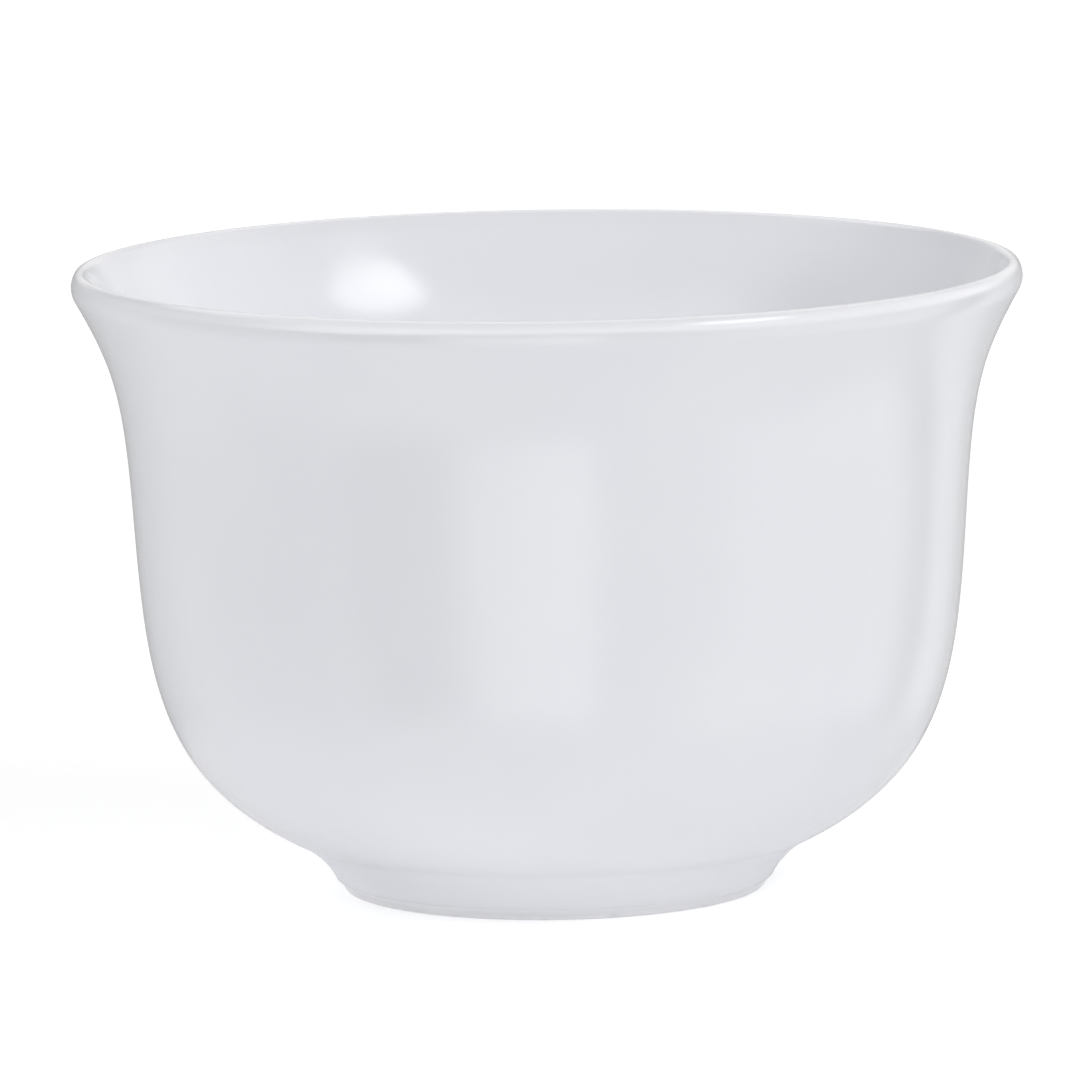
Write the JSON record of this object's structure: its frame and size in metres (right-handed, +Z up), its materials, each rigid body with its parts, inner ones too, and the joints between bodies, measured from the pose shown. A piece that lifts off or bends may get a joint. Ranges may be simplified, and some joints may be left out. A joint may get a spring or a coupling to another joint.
{
  "type": "bouillon cup",
  "caption": "Handleless bell-shaped bouillon cup in white glazed china, with a flared rounded lip, a full belly and a short foot ring whose standing edge is bare.",
  "frame": {"origin": "on the cup's axis, in the plane of the standing edge of the foot ring", "axes": "+Z up along the cup's axis, from the foot to the mouth; X and Y are free, because the cup is turned"},
  "size_m": [0.0984, 0.0984, 0.0651],
  "materials": {
    "bare_china": "matte vitrified china, ground smooth on the standing edge",
    "white_glaze": "glossy clear glaze over white china, very slightly cool"
  },
  "bodies": {
    "root": {"china_body": "bare_china", "glaze_coat": "white_glaze", "base_glaze": "white_glaze"}
  },
  "joints": []
}
